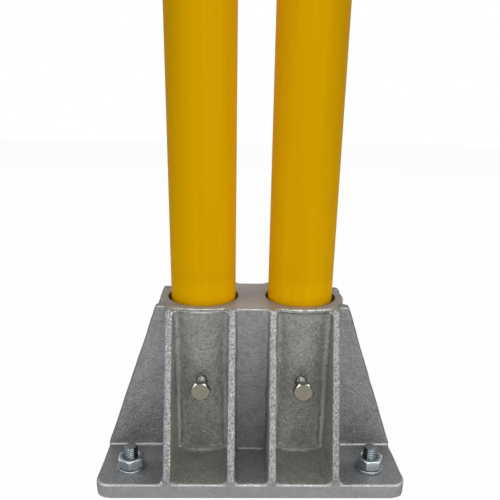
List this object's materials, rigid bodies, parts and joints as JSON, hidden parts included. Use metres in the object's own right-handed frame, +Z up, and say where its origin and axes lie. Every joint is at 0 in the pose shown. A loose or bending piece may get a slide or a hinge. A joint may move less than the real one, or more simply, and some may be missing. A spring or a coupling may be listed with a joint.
{
  "type": "guard rail post base",
  "caption": "Ribbed cast floor base with side-by-side sockets that hold round guard-rail posts by set bolts, fixed to the floor with wedge anchors.",
  "frame": {"origin": "centre of the casting's underside, where it stands on the floor", "axes": "+X from the left post to the right one, +Y away from the set bolts, +Z up along the posts"},
  "size_m": [0.22, 0.15, 0.5016],
  "materials": {
    "cast_aluminium": "sand cast, matt and grainy, with a machined deck",
    "yellow_paint": "satin safety yellow paint",
    "yellow_plastic": "plain moulded yellow",
    "zinc_warm": "zinc plated, slightly warm",
    "zinc_blue": "zinc plated, bluish",
    "clip_steel": "bare rolled steel"
  },
  "bodies": {
    "root": {"base_casting": "cast_aluminium", "post_left": "yellow_paint", "post_right": "yellow_paint", "post_cap_left": "yellow_plastic", "post_cap_right": "yellow_plastic", "set_bolt_left": "zinc_warm", "set_bolt_right": "zinc_warm", "anchor_stud_front_left": "zinc_blue", "anchor_stud_front_right": "zinc_blue", "anchor_stud_rear_left": "zinc_blue", "anchor_stud_rear_right": "zinc_blue", "anchor_clip_front_left": "clip_steel", "anchor_clip_front_right": "clip_steel", "anchor_clip_rear_left": "clip_steel", "anchor_clip_rear_right": "clip_steel", "washer_front_left": "zinc_blue", "washer_front_right": "zinc_blue", "washer_rear_left": "zinc_blue", "washer_rear_right": "zinc_blue", "nut_front_left": "zinc_blue", "nut_front_right": "zinc_blue", "nut_rear_left": "zinc_blue", "nut_rear_right": "zinc_blue"}
  },
  "joints": []
}
